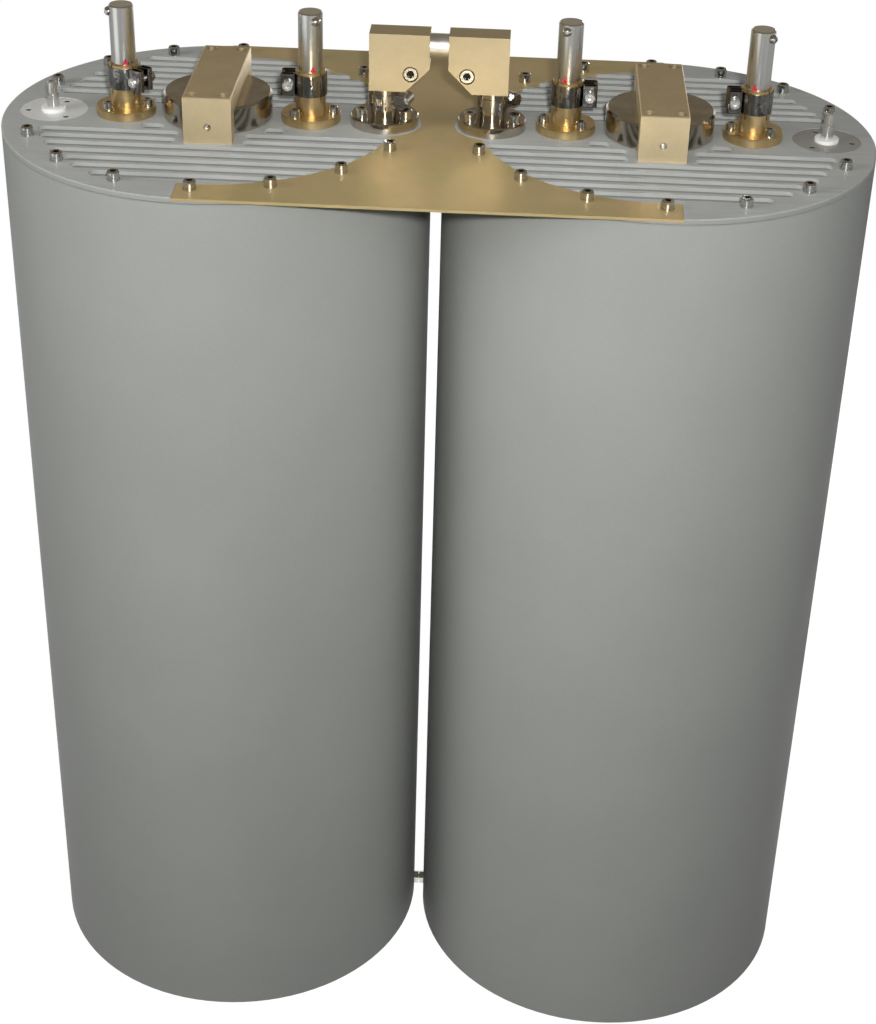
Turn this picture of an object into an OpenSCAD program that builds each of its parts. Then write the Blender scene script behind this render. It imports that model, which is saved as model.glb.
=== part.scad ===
// Two-cavity coaxial band-pass filter: two round cavities side by side, joined by a bridge plate
// and a coaxial coupling link, with four tuning rods and two bare coaxial ports on the covers.
// Millimetres. X runs across both cavities, Y to the back, Z up from the floor.

/* [Cavities] */
// Outside diameter of each cavity tube
tube_d = 300; // [290:1:330]
// Wall thickness of the cavity tubes
tube_wall = 5; // [4:0.5:7]
// Height from the floor to the covers' top face
body_h = 705; // [500:5:900]
// Gap between the two tubes
tube_gap = 8; // [8:0.5:14]
// Radial width of the screw rings inside the tube ends
ring_w = 18; // [16:0.5:19]
// Height of the screw rings inside the tube ends
ring_h = 18; // [14:1:30]
// Thickness of the bottom plates
base_t = 9; // [8:0.5:14]

/* [Covers] */
// Full thickness of a cover
cover_t = 14; // [13:0.5:20]
// Thickness of the lip that lies on the tube's end
lip_t = 4; // [3:0.25:6]
// Chamfer on the lip's top edge
lip_chamfer = 0.8; // [0.2:0.1:1.5]
// Distance of the rim screws from the tube's outside
rim_inset = 16; // [15:0.25:17]
// Number of rim screw places round a cover, of which the two in line with the ports stay empty
rim_places = 16; // [12:4:16]
// Width of the milled slots
slot_w = 9.4; // [6:0.2:10]
// Distance between neighbouring slots
slot_pitch = 12.65; // [12:0.05:14]
// Depth of the milled slots
slot_depth = 4; // [2:0.25:5]
// Distance of the first full row of slots from the centre line
slot_first = 37.4; // [36:0.2:39]
// Number of full rows on each side of the centre line
slot_rows = 7; // [4:1:7]
// Bare margin between the slot field and the cover's edge, at the sides
slot_rim_x = 25.5; // [24:0.5:40]
// Bare margin between the slot field and the cover's edge, at the front and back
slot_rim_y = 13; // [12:0.5:20]
// Radius of the flat pad left round each rod collar
rod_pad_r = 26.5; // [24:0.5:28]

/* [Bridge plate] */
// Thickness of the bridge plate
plate_t = 2; // [1.5:0.25:3]
// How far the plate reaches past each cavity's centre line
plate_reach = 10; // [8:0.5:20]
// Width of the plate's band along the cover's edge
plate_band = 25; // [23:0.5:28]
// Gap between the plate and the link flanges
plate_notch_gap = 2.5; // [1:0.25:4]

/* [Head disc and bar] */
// Diameter of the nickel head disc
disc_d = 75.6; // [60:0.2:78]
// Height of the head disc
disc_h = 19; // [14:0.5:22]
// Chamfer on the disc's edges
disc_chamfer = 1.4; // [0.5:0.1:3]
// Width of the bridge bar
bar_w = 33; // [28:0.5:40]
// Length of the bridge bar, front to back
bar_l = 108; // [96:0.5:112]
// Thickness of the bar's span over the disc
bar_span_t = 13.3; // [8:0.1:18]
// Length of each foot of the bar
bar_foot_l = 14; // [12:0.5:14.5]
// Chamfer on the bar's top edges
bar_chamfer = 0.6; // [0.2:0.1:1.5]
// Depth of the counterbores in the bar's top
bar_bore_h = 11; // [8:0.5:18]
// Distance of the bar's screws from the bar's centre line
bar_screw_x = 10.6; // [8:0.2:11]
// Height of the grub screw over the cover
grub_z = 11.5; // [8:0.5:14]

/* [Tuning rods] */
// Gap between the resonators' rims and the rods' plungers
res_gap = 3; // [2:0.25:5]
// Diameter of the rods
rod_d = 17; // [14:0.25:18]
// Height of the rod tops over the cover
rod_top = 77.4; // [60:0.2:110]
// Distance of the stop screws below the rod tops
stop_down = 4.9; // [4.5:0.1:12]
// Travel of a rod upwards
rod_up = 30; // [10:1:60]
// Diameter of the plunger at the rod's inner end
plunger_d = 24; // [19:0.5:26]
// Length of the plunger
plunger_l = 120; // [40:5:200]
// Diameter of the collar's flange
collar_flange_d = 41.4; // [40:0.2:46]
// Thickness of the collar's flange
collar_flange_t = 6; // [4:0.25:8]
// Diameter of the collar's neck
collar_neck_d = 21; // [20:0.1:23]
// Height of the collar's top over the cover
collar_h = 36.5; // [34:0.25:42]
// Width of the slits in the collar's neck
collar_slit_w = 1.2; // [0.8:0.1:2]
// Radius of the circle of collar screws
collar_screw_r = 15.8; // [15.4:0.1:16.2]

/* [Band clamps] */
// Height of the band clamps
clamp_h = 15; // [12:0.5:17]
// Bare length of the collar's neck above the clamp
clamp_bare = 2; // [1:0.25:3]
// Thickness of the clamp's band
clamp_t = 0.8; // [0.6:0.1:2]
// Reach of the clamp's ears from the rod's axis
clamp_reach = 20.5; // [19:0.25:22]
// Thickness of each folded ear
ear_t = 5; // [4:0.25:6]
// Gap between the two ears
ear_gap = 4; // [2:0.25:5]

/* [Ports and link] */
// Distance of the ports' and link flanges' axes from the tube's outside
port_inset = 33.5; // [32:0.25:34]
// Diameter of the machined port seats and link flanges
seat_d = 47.4; // [44:0.2:48]
// Depth of the machined port seats
seat_t = 0.3; // [0.2:0.1:0.6]
// Diameter of the coaxial line's inner conductor and pins
core_d = 6.5; // [5:0.1:7]
// Diameter of the port conductors inside their insulators
shank_d = 5.5; // [4:0.1:6]
// Diameter of the pins' lower part
pin_base_d = 8.4; // [7:0.1:10]
// Height of the pins' step over the cover
pin_step = 11; // [6:0.5:13]
// Height of the pins over the cover
pin_h = 20.5; // [14:0.5:26]
// Outside diameter of the port insulator's head
bead_d = 17; // [16.6:0.2:19]
// Height of the insulator's head over the cover
bead_h = 2.2; // [1:0.1:4]
// Outside diameter of the coaxial line's tubes
line_d = 17; // [16:0.1:17.4]
// Wall thickness of the coaxial line's tubes
line_wall = 1; // [0.8:0.1:1.4]
// Radius of the circle of screw holes in the port seats and link flanges
seat_screw_r = 17.5; // [17.2:0.1:18]
// Thickness of the link flanges above the cover
link_flange_t = 7; // [4:0.25:8]
// Outside diameter of the link flanges' necks
link_neck_d = 21; // [20:0.1:23]
// Height of the elbow blocks' undersides over the cover
block_z = 26.3; // [25:0.1:32]
// Height of the elbow blocks
block_h = 40.4; // [38:0.2:46]
// Length of the elbow blocks along the link
block_l = 41.5; // [40:0.25:43]
// Depth of the elbow blocks, front to back
block_d = 20; // [19.5:0.25:24]
// Size of the elbow blocks' lower inner chamfer
block_chamfer = 16.5; // [12:0.25:17]
// Distance of the blocks' screws from the link's vertical axis
block_screw_x = 18.1; // [17.5:0.1:18.6]
// Height of the blocks' screws over the blocks' undersides
block_screw_z = 12.5; // [11:0.25:13]
// Gap between the link screws' heads and the hose clamps
hose_lift = 0.5; // [0.2:0.1:1.5]
// Height of the hose clamps
hose_h = 9; // [8:0.25:12]
// Depth of the coupling loops below the covers
loop_depth = 55; // [30:1:120]
// Width of the coupling loops
loop_w = 22; // [18:0.5:24]

/* [Resonators] */
// Outside diameter of the resonators
res_d = 80; // [60:1:82]
// Wall thickness of the resonators
res_wall = 3; // [2:0.25:5]
// Length of the resonators below the covers
res_l = 560; // [300:5:560]
// Width of the resonators' mounting rims
res_rim = 10; // [9.5:0.25:12]
// How far the tip stands out of the resonator's end
tip_out = 40; // [10:1:60]
// Length of the tip that stays inside the resonator
tip_in = 40; // [20:1:60]
// Diameter of the spindles
spindle_d = 10; // [8:0.5:14]

/* [Fits] */
// Radial clearance of parts that are put together
fit = 0.1; // [0.05:0.01:0.2]
// Radial running clearance of a rod in its collar
run_fit = 0.05; // [0.02:0.01:0.08]
// Gap that is left at the end of a rod's travel
stop_gap = 0.5; // [0.3:0.1:1]

/* [Hidden] */
$fn = 64;
cut = 1;               // overshoot of cutting bodies
r_tube = tube_d/2;
r_bore = r_tube - tube_wall;
r_ring = r_bore - ring_w;
cav_x = (tube_d + tube_gap)/2;
top = body_h;
lip_z = top - lip_t;
under = top - cover_t;
rim_r = r_tube - rim_inset;
rim_step = 360/rim_places;
rim_angles = [for (i = [0:rim_places - 1]) if (i % (rim_places/2) != 0) i*rim_step];
base_angles = [for (i = [0:7]) 22.5 + i*45];

// Metric screws: nominal, head diameter, head height, socket across flats, nut height
m4 = [4, 7, 4, 3, 3.2];
m5 = [5, 8.5, 5, 4, 4];
m6 = [6, 10, 6, 5, 3.6];
hole_play = 0.5;       // play of a screw in its clearance hole, on the diameter
screw_edge = 0.5;      // chamfer on a screw head's rim
edge = 0.8;            // chamfer on the edges of turned pieces
small_edge = 0.4;
socket_share = 0.55;   // depth of a socket as a share of the head's height
thread_in = 9;         // depth of blind tapped holes in the covers
thread_end = 2;        // length of a tapped hole that its screw leaves free
ring_end = 4;          // the same, in the screw rings
small_af = 2.5;        // socket of the small screws, across flats
washer_t = 1.4;
washer_rim = 0.4;      // how much wider a spring washer is than its screw's head
joint_edge = 0.6;      // chamfers of the groove between a cover's lip and its tube

plate_cut_r = r_tube - plate_band;
plate_x = cav_x + plate_reach;
port_off = r_tube - port_inset;
link_x = cav_x - port_off;
port_x = cav_x + port_off;
notch_r = seat_d/2 + plate_notch_gap;

slot_field_x = r_tube - slot_rim_x;
slot_field_y = r_tube - slot_rim_y;
slot_margin = 1.2;     // land between a slot's end and a rim screw's head
foot_pad = 6;          // land between the slots and the bar's feet
disc_pad = 2;          // land between the short slots and the disc

bar_h = disc_h + bar_span_t;
bar_screw_y = bar_l/2 - bar_foot_l/2;
foot_gap = 2.1;        // gap between the head disc and the bar's feet
grub_sink = 3;         // depth of the grub screws in the bar's front
disc_bore_h = 12;

res_flange_d = res_d + 2*res_rim;
disc_land = 1;         // least gap between the head disc and the collars' flanges
rod_off = max(res_flange_d/2 + res_gap + plunger_d/2, (disc_d + collar_flange_d)/2 + disc_land);
rod_stations = [[-1, 1], [-1, -1], [1, -1], [1, 1]];   // cavity side, outer or inner
stop_angles = [190, 300, 251, 315];
clamp_turns = [-30, 0, 0, 0];   // turn of each clamp's ears from the line of the rods
function rod_x(i) = rod_stations[i][0]*(cav_x + rod_stations[i][1]*rod_off);
function ear_dir(i) = -rod_stations[i][0]*rod_stations[i][1];
function thirds(first) = [first, first + 120, first + 240];
function collar_angles(s) = thirds(90 - s*20);
function port_angles(s) = thirds(90 + s*20);
link_angles = thirds(90);
collar_spigot_d = collar_neck_d + 1;
clamp_top = top + collar_h - clamp_bare;
clamp_bot = clamp_top - clamp_h;
clamp_mid = clamp_top - clamp_h/2;
clamp_r = collar_neck_d/2 + fit;
ear_bolt_in = 5.2;     // distance of a clamp's screw from its ears' ends
ear_bolt_x = clamp_reach - ear_bolt_in;
slit_below = 4;        // length of the collar's slits below the clamp
shoulder_z = under - rod_up - stop_gap;
stop_z = rod_top - stop_down;
stop_d = 6.5;
stop_head_h = 3.2;
stop_seat = 7;         // depth of a stop screw in its rod
socket_in = 1.4;       // depth of the socket in a stop screw

line_bore = line_d - 2*line_wall;
block_out = link_x + link_neck_d/2;
block_in = block_out - block_l;   // X of the blocks' inner faces
axis_z = top + block_z + block_h - block_d/2;   // height of the link tube's axis
line_seat = 6;         // length of a bore's step beside the elbow's corner
bend_r = 6;
block_bore_d = m6[1] + 2*hole_play;
block_sink = 0.3;      // depth of the blocks' screw heads below the front
block_seat = block_d/2 - m6[2] - block_sink;
seat_z = top - seat_t;
hose_z = top + link_flange_t + washer_t + m5[2] + hose_lift;
hose_t = 0.9;
hose_gap = 0.05;
hose_r = link_neck_d/2 + hose_gap;
house_l = 13;          // worm housing, along its screw
worm_d = 7;
worm_r = hose_r + hose_t + worm_d/2;
worm_head_l = 3.5;
worm_rim = 0.6;        // how much wider the worm screw's head is
worm_slot_w = 1.2;
worm_slot_h = 1.4;
band_slots = [for (a = [40:7:110]) -a];   // places of the slots cut through a hose clamp's band
band_slot_w = 0.8;
hose_angles = [-15, 48];   // place of the worm housing on the left and right clamps
foot_d = 14;
foot_t = 2.5;
pin_bore_h = 7;        // depth of the bore in a pin's end
link_bead_t = 5;

res_flange_t = 8;
res_screw_r = (res_d + res_flange_d)/4;
res_angles = [for (i = [0:5]) i*60];
res_thread = 7;        // depth of the resonator screws' holes in the cover
tip_floor = 5;
tip_edge = 1;
shoulder_d = 18;       // spindle's shoulder under the tip
shoulder_t = 4;
res_end = under - res_l;

spacer_lift = 1.2;     // gap between the spacer's hole and the bottom plate
spacer_z = base_t + m6[0]/2 + spacer_lift;
stud_in = 14;          // depth of the spacer's hole in each tube
base_sink = 1;         // depth of the base screws' heads in the bottom plate
base_seat = m5[2] + base_sink;

gold = [0.78, 0.68, 0.47];
brass = [0.80, 0.62, 0.27];
grey = [0.52, 0.53, 0.51];
nickel = [0.66, 0.62, 0.56];
steel = [0.75, 0.76, 0.77];
silver = [0.84, 0.84, 0.83];
chrome = [0.38, 0.38, 0.40];
white = [0.95, 0.95, 0.93];
copper = [0.80, 0.52, 0.36];

// A ring or tube standing on z
module tube(r_out, r_in, h) {
    difference() {
        cylinder(r = r_out, h = h);
        translate([0, 0, -cut]) cylinder(r = r_in, h = h + 2*cut);
    }
}

// A round bar with both edges chamfered
module chamfered_bar(r, h, c) {
    rotate_extrude() polygon([[0, 0], [r - c, 0], [r, c], [r, h - c], [r - c, h], [0, h]]);
}

// Copies of the children on a circle
module on_circle(r, angles) {
    for (a = angles) rotate([0, 0, a]) translate([r, 0, 0]) children();
}

// Hex-socket cap screw, head seat at the origin, pointing down, shank just under nominal
module cap_screw(m, l, washer = false) {
    head_z = washer ? washer_t : 0;
    difference() {
        union() {
            translate([0, 0, head_z]) rotate_extrude()
                polygon([
                [0, 0], [m[1]/2, 0], [m[1]/2, m[2] - screw_edge],
                [m[1]/2 - screw_edge, m[2]], [0, m[2]]]);
            translate([0, 0, -l]) cylinder(d = m[0] - 2*fit, h = l + head_z + cut/2);
            if (washer) cylinder(d = m[1] + washer_rim, h = washer_t);
        }
        translate([0, 0, head_z + m[2]*(1 - socket_share)])
            cylinder(d = m[3]/cos(30), h = m[2], $fn = 6);
    }
}

// One slot with round ends between two X positions
module slot(x0, x1, y) {
    translate([x0 + slot_w/2, y - slot_w/2]) square([x1 - x0 - slot_w, slot_w]);
    for (x = [x0 + slot_w/2, x1 - slot_w/2]) translate([x, y]) circle(d = slot_w);
}

// Half length of a row: the slot field's outline, cut short where a rim screw's head is near
function field_tip(y) = slot_field_x*sqrt(max(0, 1 - pow(y/slot_field_y, 2)));
function screw_tip(y, a, d) =
    let (xs = rim_r*cos(a), dy = abs(y) - rim_r*sin(a))
    abs(dy) < d ? xs - sqrt(d*d - dy*dy) + slot_w/2 : r_tube;
function row_tip(y) =
    let (d = m5[1]/2 + slot_w/2 + slot_margin)
    min(concat([field_tip(y)], [for (a = rim_angles) if (a > 0 && a < 90) screw_tip(y, a, d)]));

// Full rows, as many as there is room for inside the rim screws' heads
row_limit = rim_r - m5[1]/2 - slot_margin - slot_w/2;
row_places = [for (i = [0:slot_rows - 1]) let (y = slot_first + i*slot_pitch) if (y < row_limit) y];

// Milled slots of one cover, seen from above
module slot_field() {
    for (side = [-1, 1]) {
        for (y = row_places) {
            tip = row_tip(y);
            if (y - slot_w/2 < bar_l/2 + slot_margin) {
                for (s = [0, 180]) rotate([0, 0, s]) slot(bar_w/2 + foot_pad, tip, side*y);
            } else {
                slot(-tip, tip, side*y);
            }
        }
        y0 = slot_first - slot_pitch;
        near = y0 - slot_w/2;
        start = sqrt(pow(disc_d/2 + disc_pad, 2) - near*near);
        end = rod_off - sqrt(pow(rod_pad_r + slot_w/2, 2) - y0*y0) + slot_w/2;
        for (s = [0, 180]) rotate([0, 0, s]) slot(start, end, side*y0);
    }
}

// Outline of the bridge plate, grown by g on every edge
module plate_outline(g = 0) {
    difference() {
        translate([-plate_x - g, -r_tube - g]) square([2*(plate_x + g), tube_d + 2*g]);
        for (s = [-1, 1]) {
            translate([s*cav_x, 0]) circle(r = plate_cut_r - g, $fn = 128);
            translate([s*link_x, 0]) circle(r = notch_r - g);
        }
    }
}

module cavity_tube(s) {
    ring_lo = base_t + ring_h;
    ring_hi = under - ring_h;
    color(grey) translate([s*cav_x, 0, 0]) difference() {
        rotate_extrude($fn = 180) polygon([
            [r_bore, 0], [r_tube, 0], [r_tube, lip_z - joint_edge], [r_tube - joint_edge, lip_z],
            [r_bore, lip_z], [r_bore, under], [r_ring, under], [r_ring, ring_hi], [r_bore, ring_hi],
            [r_bore, ring_lo], [r_ring, ring_lo], [r_ring, base_t], [r_bore, base_t]]);
        translate([0, 0, ring_hi - cut]) on_circle(rim_r, rim_angles)
            cylinder(d = m5[0], h = ring_h + 2*cut);
        translate([0, 0, base_t - cut]) on_circle(rim_r, base_angles)
            cylinder(d = m5[0], h = ring_h + 2*cut);
        translate([-s*(r_tube - stud_in - cut), 0, spacer_z]) rotate([0, -s*90, 0])
            cylinder(d = m6[0], h = stud_in + 2*cut);
    }
}

module left_cavity_tube() cavity_tube(-1);
module right_cavity_tube() cavity_tube(1);

module top_cover(s) {
    spigot_r = r_bore - fit;
    color(grey) difference() {
        translate([s*cav_x, 0, 0]) difference() {
            rotate_extrude($fn = 180) polygon([
                [0, under], [spigot_r, under], [spigot_r, lip_z], [r_tube - joint_edge, lip_z],
                [r_tube, lip_z + joint_edge], [r_tube, top - lip_chamfer], [r_tube - lip_chamfer, top],
                [0, top]]);
            translate([0, 0, top - slot_depth]) linear_extrude(slot_depth + cut) slot_field();
            translate([0, 0, under - cut]) on_circle(rim_r, rim_angles)
                cylinder(d = m5[0] + hole_play, h = cover_t + 2*cut);
            translate([0, 0, under - cut]) cylinder(d = spindle_d + 2*fit, h = cover_t + 2*cut);
            for (x = [-1, 1]) {
                translate([x*rod_off, 0, under - cut])
                    cylinder(d = collar_spigot_d + 2*fit, h = cover_t + 2*cut);
                translate([x*rod_off, 0, top - thread_in]) on_circle(collar_screw_r, collar_angles(s))
                    cylinder(d = m4[0], h = thread_in + cut);
                translate([x*port_off, 0, seat_z]) cylinder(d = seat_d + 2*fit, h = seat_t + cut);
                for (y = [-1, 1]) translate([x*bar_screw_x, y*bar_screw_y, top - thread_in])
                    cylinder(d = m4[0], h = thread_in + cut);
            }
            translate([0, 0, under - cut]) on_circle(res_screw_r, res_angles)
                cylinder(d = m5[0], h = res_thread + cut);
            translate([s*port_off, 0, under - cut])
                cylinder(d = line_bore + 2*fit, h = cover_t + 2*cut);
            translate([s*port_off, 0, top - thread_in]) on_circle(seat_screw_r, port_angles(s))
                cylinder(d = m4[0], h = thread_in + cut);
            translate([-s*port_off, 0, under - cut])
                cylinder(d = line_d + 2*fit, h = cover_t + 2*cut);
            translate([-s*port_off, 0, top - thread_in]) on_circle(seat_screw_r, link_angles)
                cylinder(d = m5[0], h = thread_in + cut);
        }
        translate([0, 0, top - plate_t]) linear_extrude(plate_t + cut) plate_outline(fit);
    }
}

module left_top_cover() top_cover(-1);
module right_top_cover() top_cover(1);

module bottom_plate(s) {
    color(grey) translate([s*cav_x, 0, 0]) difference() {
        cylinder(r = r_bore - fit, h = base_t, $fn = 180);
        on_circle(rim_r, base_angles) {
            translate([0, 0, -cut]) cylinder(d = m5[0] + hole_play, h = base_t + 2*cut);
            translate([0, 0, -cut]) cylinder(d = m5[1] + 2*hole_play, h = base_seat + cut);
        }
    }
}

module left_bottom_plate() bottom_plate(-1);
module right_bottom_plate() bottom_plate(1);

module rim_screws() {
    color(steel) for (s = [-1, 1]) translate([s*cav_x, 0, top])
        on_circle(rim_r, rim_angles) cap_screw(m5, cover_t + ring_h - ring_end, washer = true);
}

module base_screws() {
    length = base_t - base_seat + ring_h - ring_end;
    color(steel) for (s = [-1, 1]) translate([s*cav_x, 0, base_seat])
        on_circle(rim_r, base_angles) rotate([180, 0, 0]) cap_screw(m5, length);
}

module bridge_plate() {
    color(gold) translate([0, 0, top - plate_t]) difference() {
        linear_extrude(plate_t) plate_outline();
        for (s = [-1, 1]) translate([s*cav_x, 0, -cut])
            on_circle(rim_r, rim_angles) cylinder(d = m5[0] + hole_play, h = plate_t + 2*cut);
    }
}

module resonator(s) {
    color(copper) translate([s*cav_x, 0, 0]) difference() {
        rotate_extrude($fn = 96) polygon([
            [res_d/2 - res_wall, res_end], [res_d/2, res_end], [res_d/2, under - res_flange_t],
            [res_flange_d/2, under - res_flange_t], [res_flange_d/2, under], [res_d/2 - res_wall, under]]);
        translate([0, 0, under - res_flange_t - cut]) on_circle(res_screw_r, res_angles)
            cylinder(d = m5[0] + hole_play, h = res_flange_t + 2*cut);
    }
}

module left_resonator() resonator(-1);
module right_resonator() resonator(1);

module resonator_screws() {
    color(steel) for (s = [-1, 1]) translate([s*cav_x, 0, under - res_flange_t])
        on_circle(res_screw_r, res_angles) rotate([180, 0, 0])
        cap_screw(m5, res_flange_t + res_thread - thread_end);
}

module resonator_tip(s) {
    r = res_d/2 - res_wall - fit;
    z0 = res_end - tip_out;
    color(copper) translate([s*cav_x, 0, 0]) difference() {
        translate([0, 0, z0]) chamfered_bar(r, tip_out + tip_in, tip_edge);
        translate([0, 0, z0 + tip_floor]) cylinder(r = r - res_wall, h = tip_out + tip_in);
        translate([0, 0, z0 - cut]) cylinder(d = spindle_d + 2*fit, h = tip_floor + 2*cut);
    }
}

module left_resonator_tip() resonator_tip(-1);
module right_resonator_tip() resonator_tip(1);

// Spindle from the head disc to the tip, with a shoulder under the tip's floor
module spindle(s) {
    lo = res_end - tip_out - shoulder_t;
    color(steel) translate([s*cav_x, 0, 0]) {
        translate([0, 0, lo]) cylinder(d = spindle_d, h = top + disc_bore_h - lo);
        translate([0, 0, lo]) cylinder(d = shoulder_d, h = shoulder_t);
    }
}

module left_spindle() spindle(-1);
module right_spindle() spindle(1);

module head_disc(s) {
    color(nickel) translate([s*cav_x, 0, top]) difference() {
        chamfered_bar(disc_d/2, disc_h, disc_chamfer, $fn = 128);
        translate([0, 0, -cut]) cylinder(d = spindle_d + 2*fit, h = disc_bore_h + cut);
    }
}

module left_head_disc() head_disc(-1);
module right_head_disc() head_disc(1);

// Bridge bar: a block on two feet over the disc, with its top edges chamfered
module bridge_bar(s) {
    c = bar_chamfer;
    span_y = bar_l/2 - bar_foot_l;
    color(gold) translate([s*cav_x, 0, top]) difference() {
        intersection() {
            rotate([90, 0, 90]) translate([0, 0, -bar_w/2]) linear_extrude(bar_w) polygon([
                [-bar_l/2, 0], [-span_y, 0], [-span_y, disc_h], [span_y, disc_h], [span_y, 0], [bar_l/2, 0],
                [bar_l/2, bar_h - c], [bar_l/2 - c, bar_h], [c - bar_l/2, bar_h], [-bar_l/2, bar_h - c]]);
            rotate([90, 0, 0]) translate([0, 0, -bar_l/2]) linear_extrude(bar_l) polygon([
                [-bar_w/2, 0], [bar_w/2, 0], [bar_w/2, bar_h - c], [bar_w/2 - c, bar_h],
                [c - bar_w/2, bar_h], [-bar_w/2, bar_h - c]]);
        }
        for (x = [-1, 1], y = [-1, 1]) translate([x*bar_screw_x, y*bar_screw_y, 0]) {
            translate([0, 0, -cut]) cylinder(d = m4[0] + hole_play, h = bar_h + 2*cut);
            translate([0, 0, bar_h - bar_bore_h]) cylinder(d = m4[1] + 2*hole_play, h = bar_bore_h + cut);
        }
        translate([0, 0, -cut]) cylinder(r = disc_d/2 + foot_gap, h = disc_h + cut);
        translate([0, -span_y + cut, grub_z]) rotate([90, 0, 0])
            cylinder(d = m5[0], h = bar_foot_l + 2*cut);
    }
}

module left_bridge_bar() bridge_bar(-1);
module right_bridge_bar() bridge_bar(1);

module bar_screws() {
    color(steel) for (s = [-1, 1], x = [-1, 1], y = [-1, 1])
        translate([s*cav_x + x*bar_screw_x, y*bar_screw_y, top + bar_h - bar_bore_h])
            cap_screw(m4, bar_h - bar_bore_h + thread_in - thread_end);
}

// Grub screws that reach from the bars' front feet to the discs' rims
module grub_screws() {
    start = disc_d/2 + fit;
    length = bar_l/2 - start - grub_sink;
    color(steel) for (s = [-1, 1]) translate([s*cav_x, -start, top + grub_z]) rotate([90, 0, 0])
        difference() {
            cylinder(d = m5[0] - 2*fit, h = length);
            translate([0, 0, length - small_af]) cylinder(d = small_af/cos(30), h = small_af + cut, $fn = 6);
        }
}

// Tuning rod with its plunger end; the stop screw's hole is near the top
module tuning_rod(i) {
    rod_foot = shoulder_z - plunger_l;
    rod_head = top + rod_top - rod_foot;
    color(silver) translate([rod_x(i), 0, 0]) difference() {
        union() {
            translate([0, 0, rod_foot]) chamfered_bar(plunger_d/2, plunger_l, edge);
            translate([0, 0, rod_foot]) chamfered_bar(rod_d/2, rod_head, edge);
        }
        translate([0, 0, top + stop_z]) rotate([0, 90, stop_angles[i]])
            translate([0, 0, rod_d/2 - stop_seat - hole_play])
            cylinder(d = m4[0], h = stop_seat + cut);
    }
}

module left_outer_rod() tuning_rod(0);
module left_inner_rod() tuning_rod(1);
module right_inner_rod() tuning_rod(2);
module right_outer_rod() tuning_rod(3);

// Dome-head stop screw across a rod's top
module stop_screw(i) {
    dome_r = (stop_d*stop_d/4 + stop_head_h*stop_head_h)/(2*stop_head_h);
    color(steel) translate([rod_x(i), 0, top + stop_z]) rotate([0, 90, stop_angles[i]])
        translate([0, 0, rod_d/2]) difference() {
            union() {
                translate([0, 0, -stop_seat]) cylinder(d = m4[0] - 2*fit, h = stop_seat + cut);
                intersection() {
                    translate([0, 0, stop_head_h - dome_r]) sphere(r = dome_r);
                    cylinder(d = stop_d + cut, h = stop_head_h);
                }
            }
            translate([0, 0, stop_head_h - socket_in])
                cylinder(d = small_af/cos(30), h = socket_in + cut, $fn = 6);
        }
}

module left_outer_stop_screw() stop_screw(0);
module left_inner_stop_screw() stop_screw(1);
module right_inner_stop_screw() stop_screw(2);
module right_outer_stop_screw() stop_screw(3);

// Brass collar: flange, slotted neck and a spigot through the cover
module rod_collar(i) {
    r_flange = collar_flange_d/2;
    r_neck = collar_neck_d/2;
    color(brass) translate([rod_x(i), 0, top]) difference() {
        rotate_extrude() polygon([
            [rod_d/2 + run_fit, -cover_t], [collar_spigot_d/2, -cover_t], [collar_spigot_d/2, 0],
            [r_flange - small_edge, 0], [r_flange, small_edge], [r_flange, collar_flange_t - small_edge],
            [r_flange - small_edge, collar_flange_t], [r_neck, collar_flange_t],
            [r_neck, collar_h - small_edge], [r_neck - small_edge, collar_h], [rod_d/2 + run_fit, collar_h]]);
        for (a = [45, 135, 225, 315]) rotate([0, 0, a])
            translate([0, -collar_slit_w/2, clamp_bot - top - slit_below])
            cube([collar_neck_d, collar_slit_w, collar_h]);
        translate([0, 0, -cut]) on_circle(collar_screw_r, collar_angles(rod_stations[i][0]))
            cylinder(d = m4[0] + hole_play, h = collar_flange_t + 2*cut);
    }
}

module left_outer_collar() rod_collar(0);
module left_inner_collar() rod_collar(1);
module right_inner_collar() rod_collar(2);
module right_outer_collar() rod_collar(3);

// One folded ear of a band clamp, seen from above: a loop with a round outer end
module ear_loop() {
    x_end = clamp_reach - ear_t/2;
    fold = ear_t - 2*clamp_t;
    difference() {
        union() {
            translate([clamp_r, ear_gap/2]) square([x_end - clamp_r, ear_t]);
            translate([x_end, ear_gap/2 + ear_t/2]) circle(d = ear_t);
        }
        translate([clamp_r + clamp_t, ear_gap/2 + clamp_t]) square([x_end - clamp_r - clamp_t, fold]);
        translate([x_end, ear_gap/2 + ear_t/2]) circle(d = fold);
    }
}

// Band clamp round a collar's neck, with its ears towards the cavity's axis
module band_clamp(i) {
    color(chrome) translate([rod_x(i), 0, clamp_bot]) rotate([0, 0, clamp_turns[i]])
        mirror([ear_dir(i) < 0 ? 1 : 0, 0, 0]) difference() {
            linear_extrude(clamp_h) difference() {
                union() {
                    circle(r = clamp_r + clamp_t);
                    ear_loop();
                    mirror([0, 1]) ear_loop();
                }
                circle(r = clamp_r);
                translate([0, -ear_gap/2]) square([clamp_reach, ear_gap]);
            }
            translate([ear_bolt_x, 0, clamp_h/2]) rotate([90, 0, 0])
                cylinder(d = m4[0] + 2*fit, h = 3*ear_t + ear_gap, center = true);
        }
}

module left_outer_clamp() band_clamp(0);
module left_inner_clamp() band_clamp(1);
module right_inner_clamp() band_clamp(2);
module right_outer_clamp() band_clamp(3);

// Children on the axis of each clamp's screw, with Y along it
module on_ears() {
    for (i = [0:3]) translate([rod_x(i), 0, clamp_mid]) rotate([0, 0, clamp_turns[i]])
        translate([ear_dir(i)*ear_bolt_x, 0, 0]) children();
}

module clamp_screws() {
    color(steel) on_ears() translate([0, -ear_gap/2 - ear_t, 0]) rotate([90, 0, 0])
        cap_screw(m4, 2*ear_t + ear_gap + m4[4] + thread_end);
}

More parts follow.
